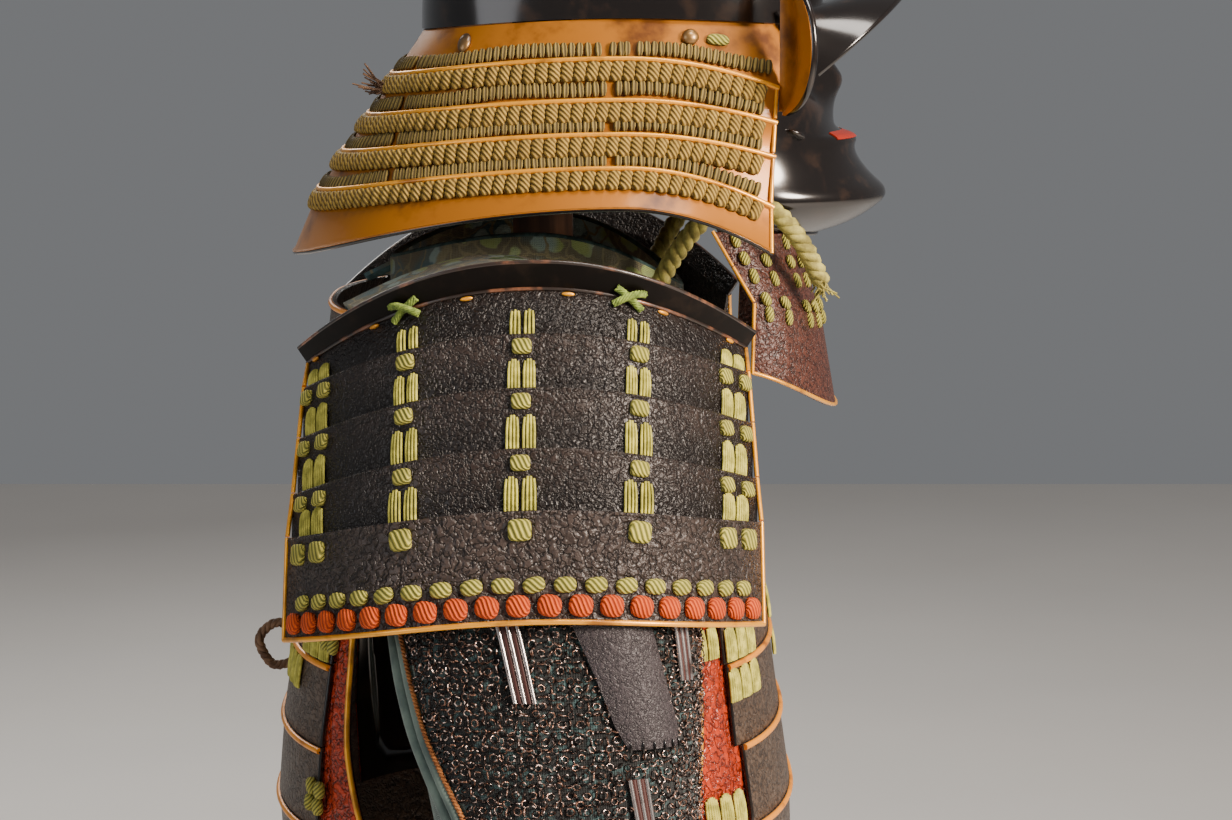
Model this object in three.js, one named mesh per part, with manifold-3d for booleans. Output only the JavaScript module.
// A suit of lamellar armour on a wooden stand: helmet with neck guard, half mask with throat guard,
// cuirass with hanging skirt plates, two shoulder guards and two mail sleeves.
// Millimetres. +X is forward (the way the mask faces), +Y is the wearer's left, +Z is up.
// The origin is the middle of the base board's underside.
import * as THREE from 'three';
import Module from 'manifold-3d';

const wasm = await Module();
wasm.setup();

// Driving dimensions
const GAP = 0.35; // running gap between neighbouring pieces
const PLATE = 2.2; // thickness of a lacquered lame
const SIDES = { right: -1, left: 1 };

const HELMET = {
  centreX: 50, halfLength: 125, halfWidth: 100, squareness: 2.5,
  rimZ: 1082, rimDipBack: 9, rimDipFront: 7, topZ: 1217, wall: 3,
  spreadPower: 0.85, risePower: 0.9, // how full the dome is, sideways and upwards
  rings: [0, 0.12, 0.28, 0.45, 0.62, 0.8],
};

// Visor: an arched brim that hangs low at the temples
const VISOR = {
  rootAngle: 48, rootRise: 0.02, rootGap: 0.5, rise: 5, crown: 5, wall: 2.4,
  reachX: 228, endX: 167, endY: 79, endZ: 1048, middleZ: 1099, droop: 1.7,
};

// Neck guard, one row for each lame edge, from the bowl's rim down to the lowest edge.
const NECK_ROWS = {
  halfWidth: [98.6, 110, 118.5, 126.5, 134.5, 148],
  backX: [-73.5, -92, -107, -123, -139, -157],
  sideZ: [1081.4, 1060, 1036, 1016.5, 997, 973],
  backDip: [9.1, 14, 15, 18, 22, 39],
  frontDip: [4, 18, 14, 14, 24, 28],
  frontReach: [142, 192, 192, 192, 192, 192],
  endAngle: [135, 119, 119, 119, 119, 119],
  squareness: [2.5, 2.45, 2.4, 2.35, 2.3, 2.3],
};
const NECK_CENTRE_X = 36;
const TUCK = { length: 5, sink: 0.6 }; // how each lame's foot passes behind the next lame
const FACE_END = 1e-9; // stands for zero where a mirrored surface needs a sign on its middle line

// The braid along each lame of the neck guard: millimetres below the lame's edge, and height.
const BRAID_SECTION = [[0, 0.4], [0.8, 2.2], [3.4, 2.2], [5.2, 3.2], [12.8, 3.2], [14, 0]];
// The rolled lowest edge of the neck guard, in the same two numbers.
const ROLLED_EDGE = [[-3, 0], [-2, 1.4], [0, 1.4], [0, -PLATE]];

// Turned-back ears at the front ends of the neck guard.
const EAR = {
  hingeX: 140.5, hingeY: 96, width: 42, rootWidth: 4, topZ: 1104, bottomZ: 1026,
  turn: 63, firstBend: 0.35, lead: 2, fullness: 0.8, ends: [0.06, 0.94], wall: 2.4,
};

const MASK_AXIS_X = 108;
// Half mask, one row for each height: distance from the mask's axis at the face's middle, beside the
// nose, on the cheek and at the side.
const MASK_ROWS = {
  z: [1062, 1050, 1041, 1030, 1018, 1010, 1006, 998, 984, 971, 960, 950, 944],
  middle: [68, 80, 86, 77, 75, 77, 93, 88, 98, 114, 102, 84, 62],
  besideNose: [60, 64, 68, 72, 73, 75, 86, 85, 92, 106, 95, 78, 60],
  cheek: [66, 70, 74, 76, 76, 76, 77, 78, 84, 94, 86, 72, 62],
  side: [78, 80, 81, 81, 81, 81, 81, 81, 81, 82, 80, 76, 70],
};
const MASK_ANGLES = [0, 20, 45, 84];
const MASK_STATIONS = [-84, -72, -60, -45, -32, -20, -10, 0, 10, 20, 32, 45, 60, 72, 84];
const MASK_WALL = 2.5;
const EYE_EDGE = { dip: 22, lastRow: 4, from: 6, over: 16 }; // how the top edge drops beside the nose
const JAW = { rise: 12, fromRow: 9, over: 2 }; // how the jaw's edge climbs towards the ears

// Throat guard, one row for each lame edge.
const THROAT_ROWS = {
  endX: [100, 113, 126, 124],
  endY: [78, 84, 90, 95],
  frontX: [162.3, 167, 175, 186],
  endZ: [953, 932, 911, 869],
  frontZ: [947, 922, 897, 836],
};
const THROAT = { span: 0.97, squareness: 0.9, sag: 1.5, tuckSink: [0.95, 0.75] };

// Shoulder guard, one row for each lame edge, on its middle line.
const SHOULDER_ROWS = {
  y: [204, 197, 215, 232, 250.5, 267, 285],
  z: [949, 933, 910, 882, 851, 819, 760],
  halfChord: [136, 130, 131, 133, 135, 137, 138],
  sagitta: [80, 72, 72, 74, 75, 76, 76],
  endDrop: [56, 49, 38, 38, 36.5, 27, 24],
};
const SHOULDER_CENTRE_X = -7;
const SHOULDER_ROLL = 0.035; // the front end hangs a little higher than the back end
const SHOULDER_ROUNDING = 2.9;
const SHOULDER_DROOP = 2.2;
const SHOULDER_STATIONS = [-1, -0.95, -0.87, -0.75, -0.6, -0.4, -0.15, 0.15, 0.4, 0.6, 0.75, 0.87, 0.95, 1];
const LACE_COLUMNS = { x: [-122, -66, 0, 66, 122], width: [26, 15, 15, 15, 26] };
const LACE = { height: 1.8, topShare: 0.42, bottomShare: 0.955, sink: 2.9 };

// Cuirass surface, one row for each height, from the waist up.
const BODY_ROWS = {
  z: [430, 480, 540, 600, 650, 700, 760, 820, 880, 930],
  backX: [-138, -154, -168, -171, -166, -158, -150, -145, -139, -126],
  frontX: [132, 148, 160, 158, 150, 143, 134, 126, 118, 108],
  halfWidth: [160, 176, 189, 190, 184, 174, 162, 150, 138, 126],
};
const BODY_SQUARENESS = 2.4;
const BODY_WALL = 2.6;
const RIM = { proud: 1.6, height: 3.2, foot: 1 };
const HEM_Z = 444;
const LAME_PITCH = 50;
const GIRTH_LAMES = 2; // lames that go round below the armholes
const SHORT_LAMES = 3; // lames between the armholes, below the top plates
const FRONT_TOP_Z = 852;
const BACK_TOP_Z = 905;
const SEAM_GAP_ANGLE = 0.1;
const CHEST_HALF_ANGLES = [35, 37, 40, 41]; // of each lame between the armholes, from the lowest
const BACK_HALF_ANGLE = 41;
const ARMHOLE_Z = HEM_Z + GIRTH_LAMES * LAME_PITCH;
const BEND_CLEARANCE = 15; // no bend of the body is taken nearer than this to a lame's edge

// Armhole panel, one row for each station from the front's top, round below the arm, to the back's top:
// the armhole's own rim, and the edge that is tucked behind the lames.
const PANEL_ROWS = {
  innerAngle: [51, 51, 51.5, 54, 61, 74, 90, 105, 116, 123.5, 129, 130.5, 129],
  innerZ: [800, 745, 690, 640, 594, 568, 560, 563, 578, 610, 660, 735, 812],
  outerAngle: [38, 38, 37, 34.5, 32, 60, 90, 114, 139.6, 140.2, 141, 141, 141],
  outerZ: [800, 745, 690, 630, 0, 0, 0, 0, 0, 600, 660, 735, 812],
};
const PANEL = {
  tuckShare: 0.4, riseShare: 0.5, rimShare: 0.82, rimStep: 0.02, rimHeight: 2.2, sink: 0.7, wall: 2,
};

const STRAP = { insideY: 73.4, outsideY: 117, thickness: 4, arch: 53 };
const COLLAR = {
  wall: 5, outsideY: 73, backX: -97, frontX: 89, height: 23, sideZ: 926.4, backDrop: 20, frontDrop: 38,
};

const SKIRT = {
  count: 7, lace: 40, lameHeight: 30, lames: 4, flare: 0.2, topHalfAngle: 21, bottomHalfAngle: 24,
  rim: { proud: 1.8, height: 4 },
};
const SKIRT_LACES = { count: 4, span: 0.88, halfWidth: 0.055, overlap: 2, height: 0.8, sink: 1.6 };
// Cord loop on the back: each point is its distance behind the back, and its height from the loop's middle.
const BACK_LOOP = { radius: 3.4, z: 679, points: [[0.15, 9], [14, 11], [24, 0], [16, -16], [3.5, -15]] };
// Chin cord of the wearer's left side, and half its width.
const CHIN_CORD = {
  radius: 6,
  route: [[69, 66, 912], [80, 75, 935], [100, 86, 962], [124, 88.2, 974], [144, 87.4, 964], [160, 82, 944],
    [171, 74, 922]],
};

// Mail sleeve, one row for each ring: outer and inner points of the ring, and its back and front.
const SLEEVE_ROWS = {
  outerY: [117.5, 170, 208.5, 240.6, 264.6, 277, 288, 298, 307, 312, 314, 314, 312],
  outerZ: [930.5, 918, 892, 850, 795, 742, 690, 640, 590, 530, 470, 410, 362],
  innerY: [138, 148, 156, 163, 170, 178, 187, 200, 214, 224, 232, 240, 246],
  innerZ: [800, 790, 775, 757, 738, 715, 682, 632, 585, 527, 468, 408, 361],
  backX: [-62, -68, -72, -76, -80, -75, -68, -57, -48, -32, -12, 12, 30],
  frontX: [72, 78, 84, 88, 91, 93, 93, 93, 97, 102, 108, 112, 112],
};
const SLEEVE_WALL = 2.5;
const SLEEVE_PARTS = { upper: [0, 8], lower: [8.008, 12] }; // sleeve rows of each part, parted at the elbow
const SLEEVE_SIDES = 18;
// Plate on the upper arm, one row for each station from its top: place round the sleeve, half width.
const ARM_PLATE_ROWS = {
  sleeveRow: [4.05, 4.2, 4.4, 4.7, 5.3, 5.8, 6.05],
  turn: [0.05, 0.054, 0.06, 0.07, 0.091, 0.11, 0.119],
  halfTurn: [0.036, 0.044, 0.046, 0.046, 0.043, 0.043, 0.037],
};
const ARM_PLATE = { proud: 6.3, roundness: 3.8, wall: 2 };
// Splints, one row for each bundle: place round the sleeve, and its first and last sleeve row.
const SPLINT_ROWS = {
  turn: [-0.045, 0.16, 0.092, 0, 0.09, -0.09, 0.18, -0.18],
  from: [4.5, 4.45, 6.35, 8.3, 8.3, 8.3, 8.3, 8.3],
  to: [5.56, 5.35, 7.4, 11.5, 11.5, 11.5, 11.5, 11.5],
};
const SPLINT = { halfTurn: 0.018, proud: 1.8, slant: 0.016, longest: 2, sink: 1.8 };
const HAND_PLATE = { length: 92, halfAngle: 75, wall: 2.2, drop: 0.1, taper: 0.45, lean: 10 };

const STAND = {
  postSide: 37, baseLength: 420, baseWidth: 440, baseHeight: 28, barTopZ: 924.5, barHeight: 32,
  barHalfLength: 115.5, barThickness: 26, headX: 41, headBottomZ: 1152.2,
  chinBarZ: 984, chinBarReach: 192.7, chinBarSide: 20, headLap: 10, headSides: 20,
};
// Head block: radius and height of each point of its outline, from the underside up.
const HEAD_OUTLINE = [[0, 0], [46, 0], [48, 3], [48, 36], [44, 48], [36, 54.5], [0, 57]];

const FINISH = {
  blackLacquer: { color: 0x15110f, roughness: 0.12, metalness: 0 },
  goldLacquer: { color: 0xa87425, roughness: 0.35, metalness: 0.35 },
  wrinkledLeather: { color: 0x2b2422, roughness: 0.45, metalness: 0 },
  redLeather: { color: 0x8d2f1e, roughness: 0.4, metalness: 0 },
  mail: { color: 0x3a3734, roughness: 0.4, metalness: 0.8 },
  brocade: { color: 0x59645a, roughness: 0.8, metalness: 0 },
  paleCord: { color: 0x9a9a3a, roughness: 0.85, metalness: 0 },
  brownCord: { color: 0x7a5a44, roughness: 0.85, metalness: 0 },
  wood: { color: 0x5b3c26, roughness: 0.6, metalness: 0 },
};

const armour = new THREE.Group();

function add(name, geometry, finish) {
  const mesh = new THREE.Mesh(geometry, new THREE.MeshStandardMaterial(FINISH[finish]));
  mesh.name = name;
  armour.add(mesh);
}

const radians = THREE.MathUtils.degToRad;

/** Reads a column of a table at a fractional row number, carrying on straight past its ends. */
function along(column, row) {
  const i = Math.min(Math.max(Math.floor(row), 0), column.length - 2);
  return column[i] + (column[i + 1] - column[i]) * (row - i);
}

/** Reads a column against a rising or falling list of stations. */
function lookUp(stations, column, value) {
  const rising = stations[1] > stations[0];
  let i = 0;
  while (i < stations.length - 2 && (rising ? value > stations[i + 1] : value < stations[i + 1])) i++;
  const share = (value - stations[i]) / (stations[i + 1] - stations[i]);
  return column[i] + (column[i + 1] - column[i]) * Math.min(Math.max(share, 0), 1);
}

function signedPower(value, power) {
  return Math.sign(value) * Math.abs(value) ** power;
}

function steps(count, from = 0, to = 1) {
  return Array.from({ length: count + 1 }, (_, i) => from + ((to - from) * i) / count);
}

/** Makes a closed geometry from points and triangles, turned so that its faces point out. */
function closedGeometry(points, triangles) {
  const volume = triangles.reduce(
    (sum, [a, b, c]) => sum + points[a].dot(points[b].clone().cross(points[c])), 0);
  const index = triangles.flatMap(([a, b, c]) => (volume > 0 ? [a, b, c] : [a, c, b]));
  const geometry = new THREE.BufferGeometry();
  geometry.setAttribute('position', new THREE.Float32BufferAttribute(points.flatMap((p) => p.toArray()), 3));
  geometry.setIndex(index);
  geometry.computeVertexNormals();
  return geometry;
}

/** A solid through equal rings of points; open sweeps get flat ends cut as the section's outline. */
function sweepRings(rings, section, closed = false) {
  const size = rings[0].length;
  const points = rings.flat();
  const triangles = [];
  const count = closed ? rings.length : rings.length - 1;
  for (let i = 0; i < count; i++) {
    const next = (i + 1) % rings.length;
    for (let j = 0; j < size; j++) {
      const k = (j + 1) % size;
      const [a, b, c, d] = [i * size + j, next * size + j, next * size + k, i * size + k];
      triangles.push([a, b, c], [a, c, d]);
    }
  }
  if (!closed) {
    const outline = section.map(([x, y]) => new THREE.Vector2(x, y));
    const end = (rings.length - 1) * size;
    const faces = THREE.ShapeUtils.triangulateShape(outline, []);
    const area = (face) => THREE.ShapeUtils.area(face.map((i) => outline[i]));
    const facesArea = faces.reduce((sum, face) => sum + area(face), 0);
    const inOrder = facesArea * THREE.ShapeUtils.area(outline) > 0;
    for (const [a, b, c] of faces) {
      triangles.push(inOrder ? [a, b, c] : [a, c, b]);
      triangles.push(inOrder ? [end + a, end + c, end + b] : [end + a, end + b, end + c]);
    }
  }
  return closedGeometry(points, triangles);
}

/** The point of a surface at (u, v), moved out by height along the surface's own normal. */
function raised(surface, u, v, height, facing = 1) {
  const e = 0.002;
  const point = surface(u, v);
  const du = surface(u + e, v).sub(surface(u - e, v));
  const dv = surface(u, v + e).sub(surface(u, v - e));
  return point.addScaledVector(du.cross(dv).normalize(), height * facing);
}

/**
 * A lame: a curved plate whose section is a list of [row, millimetres below that row, height].
 * Rows are the surface's v numbers, so neighbouring lames share one surface.
 */
function lame(surface, stations, section, facing = 1) {
  const rings = stations.map((u) => section.map(([row, below, height]) => {
    const drop = surface(u, row).distanceTo(surface(u, row + 1));
    const shift = below / drop;
    const nudge = shift === 0 ? 0.004 : 0;
    return raised(surface, u, row + shift + nudge, height, facing);
  }));
  const outline = section.map(([row, below, height]) => [row * 100 + below, height]);
  return sweepRings(rings, outline);
}

/** A wall of even thickness over a grid of the surface; around joins the last station to the first. */
function wall(surface, uStations, vStations, thickness, facing = 1, around = false, relief = () => 0) {
  const layers = [relief, () => -thickness].map((depth) => uStations.map((u) =>
    vStations.map((v) => raised(surface, u, v, depth(u, v), facing))));
  const points = layers.flat(2);
  const [nu, nv] = [uStations.length, vStations.length];
  const at = (layer, i, j) => layer * nu * nv + (i % nu) * nv + j;
  const triangles = [];
  const quad = (a, b, c, d) => triangles.push([a, b, c], [a, c, d]);
  const strips = around ? nu : nu - 1;
  for (let i = 0; i < strips; i++) {
    for (let j = 0; j < nv - 1; j++) {
      quad(at(0, i, j), at(0, i + 1, j), at(0, i + 1, j + 1), at(0, i, j + 1));
      quad(at(1, i, j), at(1, i, j + 1), at(1, i + 1, j + 1), at(1, i + 1, j));
    }
    quad(at(0, i, 0), at(1, i, 0), at(1, i + 1, 0), at(0, i + 1, 0));
    quad(at(0, i, nv - 1), at(0, i + 1, nv - 1), at(1, i + 1, nv - 1), at(1, i, nv - 1));
  }
  if (!around) {
    for (let j = 0; j < nv - 1; j++) {
      quad(at(0, 0, j), at(0, 0, j + 1), at(1, 0, j + 1), at(1, 0, j));
      quad(at(0, nu - 1, j), at(1, nu - 1, j), at(1, nu - 1, j + 1), at(0, nu - 1, j + 1));
    }
  }
  return closedGeometry(points, triangles);
}

/** A hollow dome: rings from the rim up, closed by a pole inside and outside. */
function dome(surface, around, rings, thickness) {
  const points = [];
  for (const depth of [0, thickness]) {
    for (const v of rings) {
      for (let i = 0; i < around; i++) points.push(raised(surface, i / around, v, -depth));
    }
    points.push(surface(0, 1).add(new THREE.Vector3(0, 0, -depth)));
  }
  const half = rings.length * around + 1;
  const triangles = [];
  for (const [layer, turned] of [[0, false], [half, true]]) {
    const push = (a, b, c) => triangles.push(turned ? [a, c, b] : [a, b, c]);
    for (let i = 0; i < around; i++) {
      const k = (i + 1) % around;
      for (let j = 0; j < rings.length - 1; j++) {
        const [low, high] = [layer + j * around, layer + (j + 1) * around];
        push(low + i, low + k, high + k);
        push(low + i, high + k, high + i);
      }
      const last = layer + (rings.length - 1) * around;
      push(last + i, last + k, layer + half - 1);
    }
  }
  for (let i = 0; i < around; i++) {
    const k = (i + 1) % around;
    triangles.push([i, half + i, half + k], [i, half + k, k]);
  }
  return closedGeometry(points, triangles);
}

/** A round cord through points, as an extruded disc along a smooth curve. */
function cord(points, radius, lengthSteps, sides = 8) {
  const disc = new THREE.Shape();
  for (let i = 0; i < sides; i++) {
    const angle = (i / sides) * Math.PI * 2;
    const at = [radius * Math.cos(angle), radius * Math.sin(angle)];
    if (i === 0) disc.moveTo(...at);
    else disc.lineTo(...at);
  }
  const path = new THREE.CatmullRomCurve3(points.map((p) => new THREE.Vector3(...p)));
  return new THREE.ExtrudeGeometry(disc, { steps: lengthSteps, extrudePath: path, bevelEnabled: false });
}

/** The solid of a geometry, with its shared vertices merged by place. */
function toManifold(geometry) {
  const position = geometry.attributes.position;
  const index = geometry.index ? [...geometry.index.array] : [...Array(position.count).keys()];
  const places = new Map();
  const vertices = [];
  const merged = index.map((i) => {
    const point = [position.getX(i), position.getY(i), position.getZ(i)];
    const key = point.map((x) => Math.round(x * 1e4)).join();
    if (!places.has(key)) {
      places.set(key, vertices.length / 3);
      vertices.push(...point);
    }
    return places.get(key);
  });
  const triVerts = [];
  for (let i = 0; i < merged.length; i += 3) {
    const [a, b, c] = merged.slice(i, i + 3);
    if (a !== b && b !== c && a !== c) triVerts.push(a, b, c);
  }
  return new wasm.Manifold(new wasm.Mesh({
    numProp: 3,
    vertProperties: new Float32Array(vertices),
    triVerts: new Uint32Array(triVerts),
  }));
}

function fromManifold(solid) {
  const mesh = solid.getMesh();
  const geometry = new THREE.BufferGeometry();
  geometry.setAttribute('position', new THREE.Float32BufferAttribute(mesh.vertProperties, 3));
  geometry.setIndex([...mesh.triVerts]);
  geometry.computeVertexNormals();
  return geometry;
}

function joined(first, ...others) {
  return fromManifold(others.reduce((sum, geometry) => sum.add(toManifold(geometry)), toManifold(first)));
}

/** A low pad on a surface, for a lace, a knot or a splint: its foot is sunk into the wall below. */
function pad(surface, [u0, u1], [v0, v1], height, facing = 1, sink = 1) {
  const inset = 0.12;
  const corner = (su, sv, level) => {
    const pull = level > 0 ? inset : 0;
    return raised(surface, u0 + (u1 - u0) * (pull + su * (1 - 2 * pull)),
      v0 + (v1 - v0) * (pull + sv * (1 - 2 * pull)), level, facing);
  };
  const ring = (level) => [[0, 0], [1, 0], [1, 1], [0, 1]].map(([su, sv]) => corner(su, sv, level));
  return sweepRings([ring(-sink), ring(height)], [[0, 0], [1, 0], [1, 1], [0, 1]]);
}

// Helmet bowl
function bowlSurface(u, v) {
  const angle = u * Math.PI * 2;
  const power = 2 / HELMET.squareness;
  const spread = signedPower(Math.cos((v * Math.PI) / 2), HELMET.spreadPower);
  const x = signedPower(Math.cos(angle), power);
  const y = signedPower(Math.sin(angle), power);
  const dip = x * x * (x < 0 ? HELMET.rimDipBack : HELMET.rimDipFront);
  const rim = HELMET.rimZ - dip;
  return new THREE.Vector3(
    HELMET.centreX + HELMET.halfLength * x * spread,
    HELMET.halfWidth * y * spread,
    rim + (HELMET.topZ - rim) * signedPower(Math.sin((v * Math.PI) / 2), HELMET.risePower));
}
add('helmet_bowl', dome(bowlSurface, 24, HELMET.rings, HELMET.wall), 'blackLacquer');

// Visor
function visorSurface(u, v) {
  const root = raised(bowlSurface, (u * VISOR.rootAngle) / 360, VISOR.rootRise, GAP + VISOR.rootGap);
  root.z += VISOR.rise * (1 - u * u);
  const lift = 1 - Math.abs(u) ** VISOR.droop;
  const edge = new THREE.Vector3(
    VISOR.endX + (VISOR.reachX - VISOR.endX) * lift,
    VISOR.endY * Math.sin((u * Math.PI) / 2),
    VISOR.endZ + (VISOR.middleZ - VISOR.endZ) * lift);
  const point = root.lerp(edge, v);
  point.z += VISOR.crown * Math.sin(v * Math.PI) * lift;
  return point;
}
add('helmet_visor', wall(visorSurface, steps(14, -1, 1), steps(3), VISOR.wall, 1), 'blackLacquer');

// Neck guard: a band under the bowl and four laced lames
function neckSurface(u, row) {
  const read = (column) => along(NECK_ROWS[column], row);
  const angle = radians(Math.abs(u) * read('endAngle'));
  const power = 2 / read('squareness');
  const forward = signedPower(-Math.cos(angle), power);
  const reach = forward < 0 ? NECK_CENTRE_X - read('backX') : read('frontReach');
  const x = NECK_CENTRE_X + reach * forward;
  const lastForward = signedPower(-Math.cos(radians(read('endAngle'))), power);
  const frontX = NECK_CENTRE_X + read('frontReach') * lastForward;
  const away = x - HELMET.centreX;
  const dip = away < 0
    ? read('backDip') * (away / (read('backX') - HELMET.centreX)) ** 2
    : read('frontDip') * (away / (frontX - HELMET.centreX)) ** 2;
  return new THREE.Vector3(
    x, Math.sign(u || FACE_END) * read('halfWidth') * signedPower(Math.sin(angle), power),
    read('sideZ') - dip);
}
/** The foot of a lame's section, behind the next lame's top edge. */
function tucked(row, lead = -2, sink = TUCK.sink) {
  return [[row + 1, lead, -PLATE - GAP - sink / 2], [row + 1, TUCK.length, -PLATE - GAP - sink],
    [row + 1, TUCK.length, -PLATE * 2 - GAP - sink]];
}
const neckStations = steps(20, -1, 1);
const bandSection = [[0, 0, 0], ...tucked(0, -3), [0, 0, -PLATE]];
add('neck_guard_band', lame(neckSurface, neckStations, bandSection), 'goldLacquer');
const atRow = (row, section) => section.map(([below, height]) => [row, below, height]);
for (const row of [1, 2, 3, 4]) {
  const foot = row < 4 ? tucked(row) : atRow(row + 1, ROLLED_EDGE);
  const section = [...atRow(row, BRAID_SECTION), ...foot, [row, 0, -PLATE]];
  add(`neck_guard_lame_${row}`, lame(neckSurface, neckStations, section), 'goldLacquer');
}

// Ears
for (const [side, sign] of Object.entries(SIDES)) {
  const earSurface = (u, v) => {
    const height = u * Math.PI;
    const reach = EAR.width * v * Math.sin(height) ** EAR.fullness + EAR.rootWidth * (1 - v);
    const bend = radians(EAR.turn) * Math.min(1, EAR.firstBend + v);
    return new THREE.Vector3(
      EAR.hingeX + reach * Math.cos(bend) + EAR.lead * v,
      sign * (EAR.hingeY + reach * Math.sin(bend)),
      EAR.bottomZ + ((EAR.topZ - EAR.bottomZ) * (1 - Math.cos(height))) / 2);
  };
  const ear = wall(earSurface, steps(8, ...EAR.ends), steps(3), EAR.wall, -sign);
  add(`helmet_ear_${side}`, ear, 'goldLacquer');
}

// Half mask
function maskSurface(u, row) {
  const angle = Math.abs(u) * MASK_ANGLES.at(-1);
  const columns = ['middle', 'besideNose', 'cheek', 'side'].map((name) => along(MASK_ROWS[name], row));
  const radius = lookUp(MASK_ANGLES, columns, angle);
  const topShare = Math.max(0, 1 - row / EYE_EDGE.lastRow);
  const besideNose = Math.min(1, Math.max(0, (angle - EYE_EDGE.from) / EYE_EDGE.over));
  const eyeDip = EYE_EDGE.dip * topShare * besideNose;
  const jawRise = JAW.rise * Math.max(0, (row - JAW.fromRow) / JAW.over) * u * u;
  return new THREE.Vector3(
    MASK_AXIS_X + radius * Math.cos(radians(angle)),
    Math.sign(u || FACE_END) * radius * Math.sin(radians(angle)),
    along(MASK_ROWS.z, row) - eyeDip + jawRise);
}
const maskStations = MASK_STATIONS.map((angle) => angle / MASK_ANGLES.at(-1));
const maskRows = MASK_ROWS.z.map((_, i) => i);
add('face_mask', wall(maskSurface, maskStations, maskRows, MASK_WALL, -1), 'blackLacquer');

// Throat guard: three lames, each one outside the lame above it
function throatSurface(u, row) {
  const read = (column) => along(THROAT_ROWS[column], row);
  const angle = u * radians(90);
  const front = Math.cos(angle) ** THROAT.squareness;
  return new THREE.Vector3(
    read('endX') + (read('frontX') - read('endX')) * front,
    read('endY') * Math.sin(angle),
    read('endZ') + (read('frontZ') - read('endZ')) * front ** THROAT.sag);
}
const throatStations = steps(12, -THROAT.span, THROAT.span);
const throatSections = [
  [[0, 0, 0], ...tucked(0, -3, THROAT.tuckSink[0]), [0, 0, -PLATE]],
  [[1, 0, 0], ...tucked(1, -3, THROAT.tuckSink[1]), [1, 0, -PLATE]],
  [[2, 0, 0], [3, 0, 0], [3, 0, -PLATE], [2, 0, -PLATE]],
];
throatSections.forEach((section, i) => {
  add(`throat_lame_${i + 1}`, lame(throatSurface, throatStations, section, -1), 'wrinkledLeather');
});

// Cuirass: one surface whose angle u runs in degrees from the front (0) by the left (90) to the back (180)
function bodySurface(angle, z) {
  const read = (column) => lookUp(BODY_ROWS.z, BODY_ROWS[column], z);
  const [back, front] = [read('backX'), read('frontX')];
  const power = 2 / BODY_SQUARENESS;
  return new THREE.Vector3(
    (front + back) / 2 + ((front - back) / 2) * signedPower(Math.cos(radians(angle)), power),
    read('halfWidth') * signedPower(Math.sin(radians(angle)), power), z);
}
function onBody(angle, z, height) {
  return raised((a, h) => bodySurface(a, h), angle, z, height, 1);
}
/** One lame of the cuirass between two heights, with its rim standing proud at the top. */
function bodyLame(from, to, bottom, top, count) {
  const between = BODY_ROWS.z.filter((z) => z > bottom + BEND_CLEARANCE && z < top - BEND_CLEARANCE);
  const section = [[top, RIM.proud], [top - RIM.height, RIM.proud], [top - RIM.height - RIM.foot, 0],
    ...between.map((z) => [z, 0]).reverse(), [bottom, 0], [bottom, -BODY_WALL],
    ...between.map((z) => [z, -BODY_WALL]), [top, -BODY_WALL]];
  const rings = steps(count, from, to).map((angle) => section.map(([z, height]) => onBody(angle, z, height)));
  return sweepRings(rings, section);
}
const frontOf = (half) => [-half, half];
const backOf = (half) => [180 - half, 180 + half];
const seam = 90 - SEAM_GAP_ANGLE;
for (let i = 0; i < GIRTH_LAMES + SHORT_LAMES + 1; i++) {
  const bottom = HEM_Z + i * LAME_PITCH + (i > 0 ? GAP : 0);
  const isTop = i === GIRTH_LAMES + SHORT_LAMES;
  const round = i < GIRTH_LAMES;
  const frontTop = isTop ? FRONT_TOP_Z : HEM_Z + (i + 1) * LAME_PITCH;
  const backTop = isTop ? BACK_TOP_Z : HEM_Z + (i + 1) * LAME_PITCH;
  const front = frontOf(round ? seam : CHEST_HALF_ANGLES[i - GIRTH_LAMES]);
  const back = backOf(round ? seam : BACK_HALF_ANGLE);
  const count = round ? 16 : 9;
  add(`cuirass_front_lame_${i + 1}`, bodyLame(...front, bottom, frontTop, count), 'wrinkledLeather');
  add(`cuirass_back_lame_${i + 1}`, bodyLame(...back, bottom, backTop, count), 'wrinkledLeather');
}

// Armhole panels: red leather with a raised rim, their outer edges tucked behind the lames
for (const [side, sign] of Object.entries(SIDES)) {
  const panelSurface = (u, v) => {
    const row = u * (PANEL_ROWS.innerZ.length - 1);
    const outerZ = Math.max(along(PANEL_ROWS.outerZ, row), ARMHOLE_Z + GAP);
    const outerAngle = along(PANEL_ROWS.outerAngle, row);
    const angle = THREE.MathUtils.lerp(outerAngle, along(PANEL_ROWS.innerAngle, row), v);
    const z = THREE.MathUtils.lerp(outerZ, along(PANEL_ROWS.innerZ, row), v);
    const low = -BODY_WALL - GAP - PANEL.sink;
    const rise = Math.min(Math.max((v - PANEL.tuckShare) / (PANEL.riseShare - PANEL.tuckShare), 0), 1);
    const rim = v > PANEL.rimShare ? PANEL.rimHeight : 0;
    const point = onBody(angle, z, low * (1 - rise) + rim);
    point.y *= sign;
    return point;
  };
  const rimStations = [PANEL.rimShare, PANEL.rimShare + PANEL.rimStep, 1];
  const vStations = [0, PANEL.tuckShare, PANEL.riseShare, ...rimStations];
  const uStations = PANEL_ROWS.innerZ.map((_, i) => i / (PANEL_ROWS.innerZ.length - 1));
  add(`armhole_panel_${side}`, wall(panelSurface, uStations, vStations, PANEL.wall, sign), 'redLeather');
}

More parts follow.
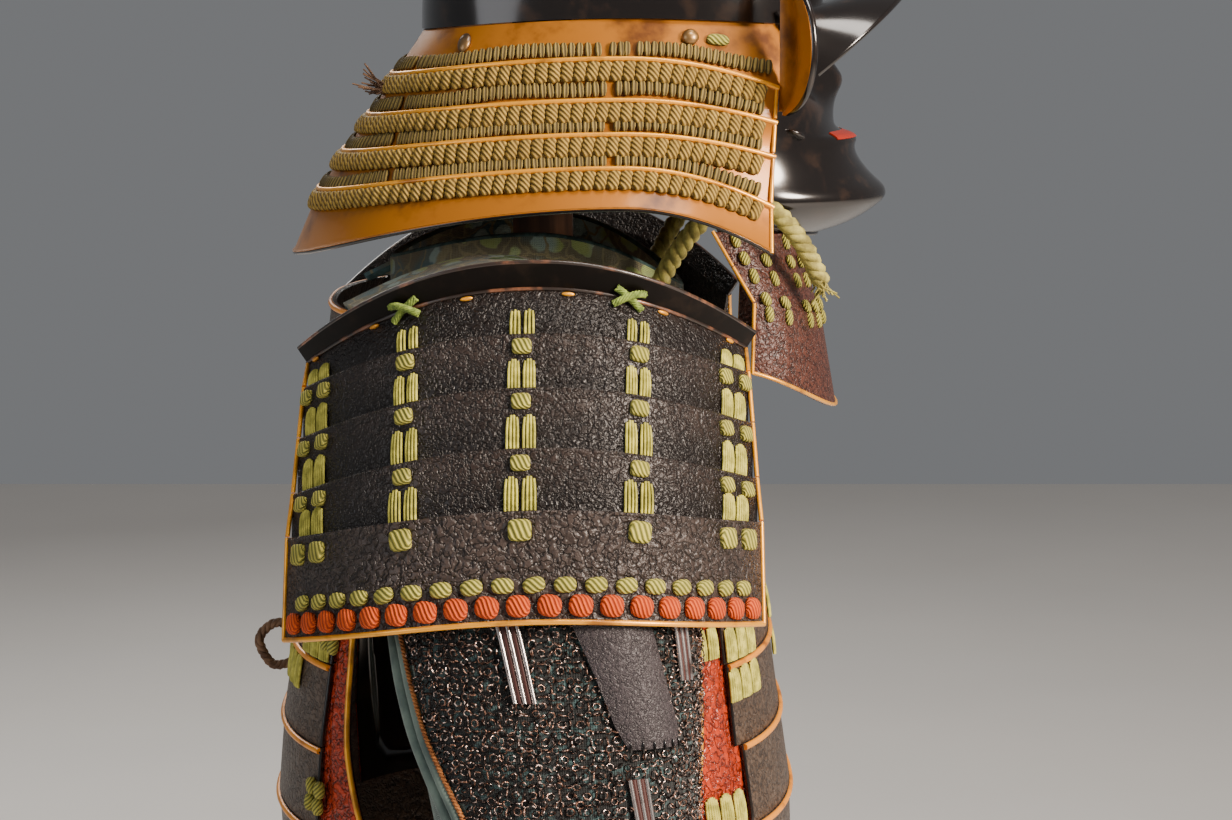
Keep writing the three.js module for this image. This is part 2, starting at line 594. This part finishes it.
// Shoulder straps, from the top of the back to the top of the chest
function bodyPointAt(y, z, back) {
  const read = (column) => lookUp(BODY_ROWS.z, BODY_ROWS[column], z);
  const share = (1 - (y / read('halfWidth')) ** BODY_SQUARENESS) ** (1 / BODY_SQUARENESS);
  const [backX, frontX] = [read('backX'), read('frontX')];
  return (frontX + backX) / 2 + ((frontX - backX) / 2) * share * (back ? -1 : 1);
}
for (const [side, sign] of Object.entries(SIDES)) {
  const strapSurface = (u, v) => {
    const y = STRAP.insideY + (STRAP.outsideY - STRAP.insideY) * u;
    const backX = bodyPointAt(y, BACK_TOP_Z, true);
    const frontX = bodyPointAt(y, FRONT_TOP_Z, false);
    const middleZ = THREE.MathUtils.lerp(BACK_TOP_Z, FRONT_TOP_Z, v) + GAP;
    return new THREE.Vector3(
      THREE.MathUtils.lerp(backX, frontX, v), sign * y, middleZ + STRAP.arch * Math.sin(Math.PI * v));
  };
  add(`shoulder_strap_${side}`, wall(strapSurface, steps(2), steps(10), STRAP.thickness, sign), 'brocade');
}

// Brocade collar round the neck opening
function collarSurface(u, v) {
  const angle = u * Math.PI * 2;
  const [back, front] = [COLLAR.backX, COLLAR.frontX];
  const share = Math.cos(angle);
  const drop = share * share * (share < 0 ? COLLAR.backDrop : COLLAR.frontDrop);
  return new THREE.Vector3(
    (front + back) / 2 + ((front - back) / 2) * share, COLLAR.outsideY * Math.sin(angle),
    COLLAR.sideZ - drop + COLLAR.height * v);
}
add('neck_collar', wall(collarSurface, steps(27, 0, 27 / 28), steps(1), COLLAR.wall, 1, true), 'brocade');

// Skirt plates: each hangs on laces from the cuirass's hem
function skirtSurface(angle, drop) {
  const point = bodySurface(angle, HEM_Z);
  const centre = new THREE.Vector3((BODY_ROWS.backX[0] + BODY_ROWS.frontX[0]) / 2, 0, HEM_Z);
  const out = point.clone().sub(centre).setZ(0).normalize();
  return point.addScaledVector(out, SKIRT.flare * drop).setZ(HEM_Z - drop);
}
for (let i = 0; i < SKIRT.count; i++) {
  const middle = (i * 360) / SKIRT.count;
  const full = SKIRT.lace + SKIRT.lameHeight * SKIRT.lames;
  const half = (drop) => THREE.MathUtils.lerp(SKIRT.topHalfAngle, SKIRT.bottomHalfAngle, drop / full);
  const surface = (u, drop) => skirtSurface(middle + u * half(drop), drop);
  const section = [];
  for (let k = 0; k < SKIRT.lames; k++) {
    const top = SKIRT.lace + k * SKIRT.lameHeight;
    section.push([top, SKIRT.rim.proud], [top + SKIRT.rim.height, SKIRT.rim.proud]);
  }
  section.push([full, 0], [full, -PLATE], [SKIRT.lace, -PLATE]);
  const ring = (u) => section.map(([drop, height]) => raised(surface, u, drop, height, -1));
  const rings = steps(5, -1, 1).map(ring);
  const { count, span, halfWidth, overlap, height: proud, sink } = SKIRT_LACES;
  const laces = steps(count - 1, -span, span).map((u) =>
    pad(surface, [u - halfWidth, u + halfWidth], [0, SKIRT.lace + overlap], proud, -1, sink));
  add(`skirt_plate_${i + 1}`, joined(sweepRings(rings, section), ...laces), 'wrinkledLeather');
}

// Cord loop on the back
const loopX = bodySurface(180, BACK_LOOP.z).x;
const loopPoints = BACK_LOOP.points.map(([behind, above]) => [loopX - behind, 0, BACK_LOOP.z + above]);
add('back_loop', cord(loopPoints, BACK_LOOP.radius, 10, 6), 'brownCord');

// Shoulder guards: a top plate with a turned lip and four laced lames
for (const [side, sign] of Object.entries(SIDES)) {
  const surface = (u, row) => {
    const read = (column) => along(SHOULDER_ROWS[column], row);
    const across = Math.abs(u) ** SHOULDER_ROUNDING;
    return new THREE.Vector3(
      SHOULDER_CENTRE_X + read('halfChord') * u,
      sign * (read('y') - read('sagitta') * across),
      read('z') - read('endDrop') * Math.abs(u) ** SHOULDER_DROOP + SHOULDER_ROLL * read('halfChord') * u);
  };
  const lipSection = [[0, 0, 0], [1, 0, 0], ...tucked(1, -3, 1.2), [1, 0, -PLATE], [0, 0, -PLATE]];
  const plates = [['top', 1, lipSection]];
  for (let row = 2; row < 6; row++) {
    const foot = row < 5 ? tucked(row) : [[6, 0, 0], [6, 0, -PLATE]];
    plates.push([`lame_${row - 1}`, row, [[row, 0, 0], ...foot, [row, 0, -PLATE]]]);
  }
  for (const [name, row, section] of plates) {
    const pads = [];
    LACE_COLUMNS.x.forEach((x, i) => {
      const edge = SHOULDER_ROWS.halfChord[row];
      const u = x / SHOULDER_ROWS.halfChord.at(-1);
      const halfLace = LACE_COLUMNS.width[i] / 2 / edge;
      const laceRows = [row + LACE.topShare, row + LACE.bottomShare];
      const across = [u - halfLace, u + halfLace];
      if (row < 5) pads.push(pad(surface, across, laceRows, LACE.height, sign, LACE.sink));
    });
    const plate = lame(surface, SHOULDER_STATIONS, section, sign);
    add(`shoulder_guard_${name}_${side}`, joined(plate, ...pads), 'wrinkledLeather');
  }
}

// Mail sleeves with splints, an arm plate and a hand plate
for (const [side, sign] of Object.entries(SIDES)) {
  const surface = (u, row) => {
    const read = (column) => along(SLEEVE_ROWS[column], row);
    const angle = u * Math.PI * 2;
    const outer = new THREE.Vector3(0, read('outerY'), read('outerZ'));
    const inner = new THREE.Vector3(0, read('innerY'), read('innerZ'));
    const middle = outer.clone().add(inner).divideScalar(2).setX((read('backX') + read('frontX')) / 2);
    middle.addScaledVector(outer.sub(inner).divideScalar(2), Math.cos(angle));
    middle.x += ((read('frontX') - read('backX')) / 2) * Math.sin(angle);
    middle.y *= sign;
    return middle;
  };
  const around = steps(SLEEVE_SIDES - 1, 0, 1 - 1 / SLEEVE_SIDES);
  for (const [part, [top, bottom]] of Object.entries(SLEEVE_PARTS)) {
    const rows = SLEEVE_ROWS.backX.map((_, i) => i).filter((row) => row > top + 0.1 && row < bottom - 0.1);
    const tube = wall(surface, around, [top, ...rows, bottom], SLEEVE_WALL, sign, true);
    const splints = [];
    SPLINT_ROWS.turn.forEach((turn, i) => {
      const [from, to] = [SPLINT_ROWS.from[i], SPLINT_ROWS.to[i]];
      if (from < top || to > bottom) return;
      const slant = to - from > SPLINT.longest ? 0 : SPLINT.slant;
      const slanted = (u, row) => surface(u + slant * (row - from), row);
      const across = [turn - SPLINT.halfTurn, turn + SPLINT.halfTurn];
      splints.push(pad(slanted, across, [from, to], SPLINT.proud, sign, SPLINT.sink));
    });
    add(`sleeve_${part}_${side}`, joined(tube, ...splints), 'mail');
  }
  const armPlate = (u, v) => {
    const row = v * (ARM_PLATE_ROWS.turn.length - 1);
    const turn = along(ARM_PLATE_ROWS.turn, row) + along(ARM_PLATE_ROWS.halfTurn, row) * u;
    const height = ARM_PLATE.proud - ARM_PLATE.roundness * u * u;
    return raised(surface, turn, along(ARM_PLATE_ROWS.sleeveRow, row), height, sign);
  };
  const plateStations = ARM_PLATE_ROWS.turn.map((_, i) => i / (ARM_PLATE_ROWS.turn.length - 1));
  const plate = wall(armPlate, steps(4, -1, 1), plateStations, ARM_PLATE.wall, sign);
  add(`arm_plate_${side}`, plate, 'wrinkledLeather');
  const cuff = SLEEVE_ROWS.backX.length - 1;
  const handPlate = (u, v) => {
    const angle = (u * HAND_PLATE.halfAngle) / 360;
    const point = surface(angle, cuff);
    point.z -= GAP + HAND_PLATE.drop + v * HAND_PLATE.length * (1 - HAND_PLATE.taper * u * u);
    point.y -= sign * HAND_PLATE.lean * v * v;
    return point;
  };
  const hand = wall(handPlate, steps(6, -1, 1), steps(4), HAND_PLATE.wall, sign);
  add(`hand_plate_${side}`, hand, 'wrinkledLeather');
}

// Chin cords: each runs behind the neck guard and past the jaw, with its two ends hanging
for (const [side, sign] of Object.entries(SIDES)) {
  const route = CHIN_CORD.route.map(([x, y, z]) => [x, sign * y, z]);
  add(`chin_cord_${side}`, cord(route, CHIN_CORD.radius, 13), 'paleCord');
}

// Stand: base board, post, shoulder bar, chin bar and head block as one frame on the board
function box(x0, x1, y0, y1, z0, z1) {
  const geometry = new THREE.BoxGeometry(x1 - x0, y1 - y0, z1 - z0);
  return geometry.translate((x0 + x1) / 2, (y0 + y1) / 2, (z0 + z1) / 2);
}
const [baseX, baseY] = [STAND.baseLength / 2, STAND.baseWidth / 2];
add('stand_base', box(-baseX, baseX, -baseY, baseY, 0, STAND.baseHeight), 'wood');
const [halfPost, halfBar, halfChinBar] = [STAND.postSide / 2, STAND.barThickness / 2, STAND.chinBarSide / 2];
const post = box(-halfPost, halfPost, -halfPost, halfPost, STAND.baseHeight + GAP,
  STAND.headBottomZ + STAND.headLap);
const shoulderBar = box(-halfBar, halfBar, -STAND.barHalfLength, STAND.barHalfLength,
  STAND.barTopZ - STAND.barHeight, STAND.barTopZ);
const chinBar = box(0, STAND.chinBarReach, -halfChinBar, halfChinBar,
  STAND.chinBarZ - halfChinBar, STAND.chinBarZ + halfChinBar);
const headOutline = HEAD_OUTLINE.map((point) => new THREE.Vector2(...point));
const head = new THREE.LatheGeometry(headOutline, STAND.headSides).rotateX(Math.PI / 2);
head.translate(STAND.headX, 0, STAND.headBottomZ);
add('stand_post', joined(post, shoulderBar, chinBar, head), 'wood');

export default armour;
